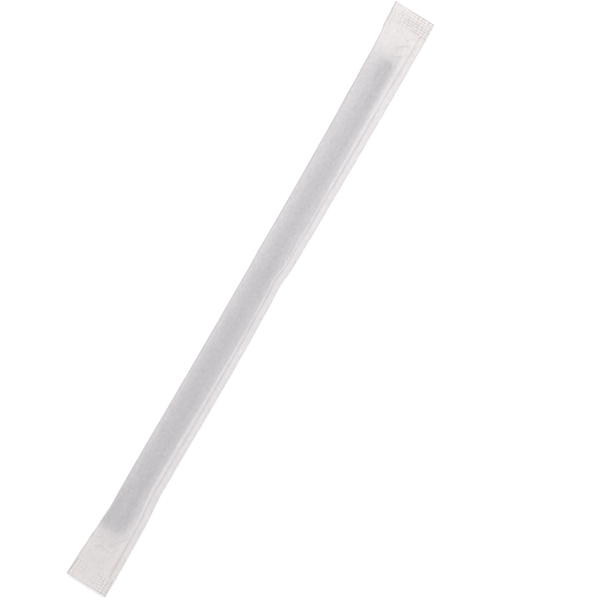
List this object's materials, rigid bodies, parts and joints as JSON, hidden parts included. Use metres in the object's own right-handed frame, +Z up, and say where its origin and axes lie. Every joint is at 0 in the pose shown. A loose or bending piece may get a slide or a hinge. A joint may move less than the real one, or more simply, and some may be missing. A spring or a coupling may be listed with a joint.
{
  "type": "wrapped spoon straw",
  "caption": "Drinking straw with one end opened into a small spoon, sealed in a long flat paper sleeve with a folded edge, a side seam and crimped ends.",
  "frame": {"origin": "centre of the object's box in X and Y, on the surface it lies on", "axes": "+X along the sleeve from the spoon end to the sip end, +Y towards the folded side edge, away from the side seam, +Z up from the surface it lies on"},
  "size_m": [0.3158, 0.022, 0.0077],
  "materials": {
    "paper": "thin uncoated white paper, slightly see-through, crimped at the seals",
    "straw_plastic": "black extruded polypropylene, soft gloss"
  },
  "bodies": {
    "root": {"paper_wrapper": "paper", "spoon_straw": "straw_plastic"}
  },
  "joints": []
}
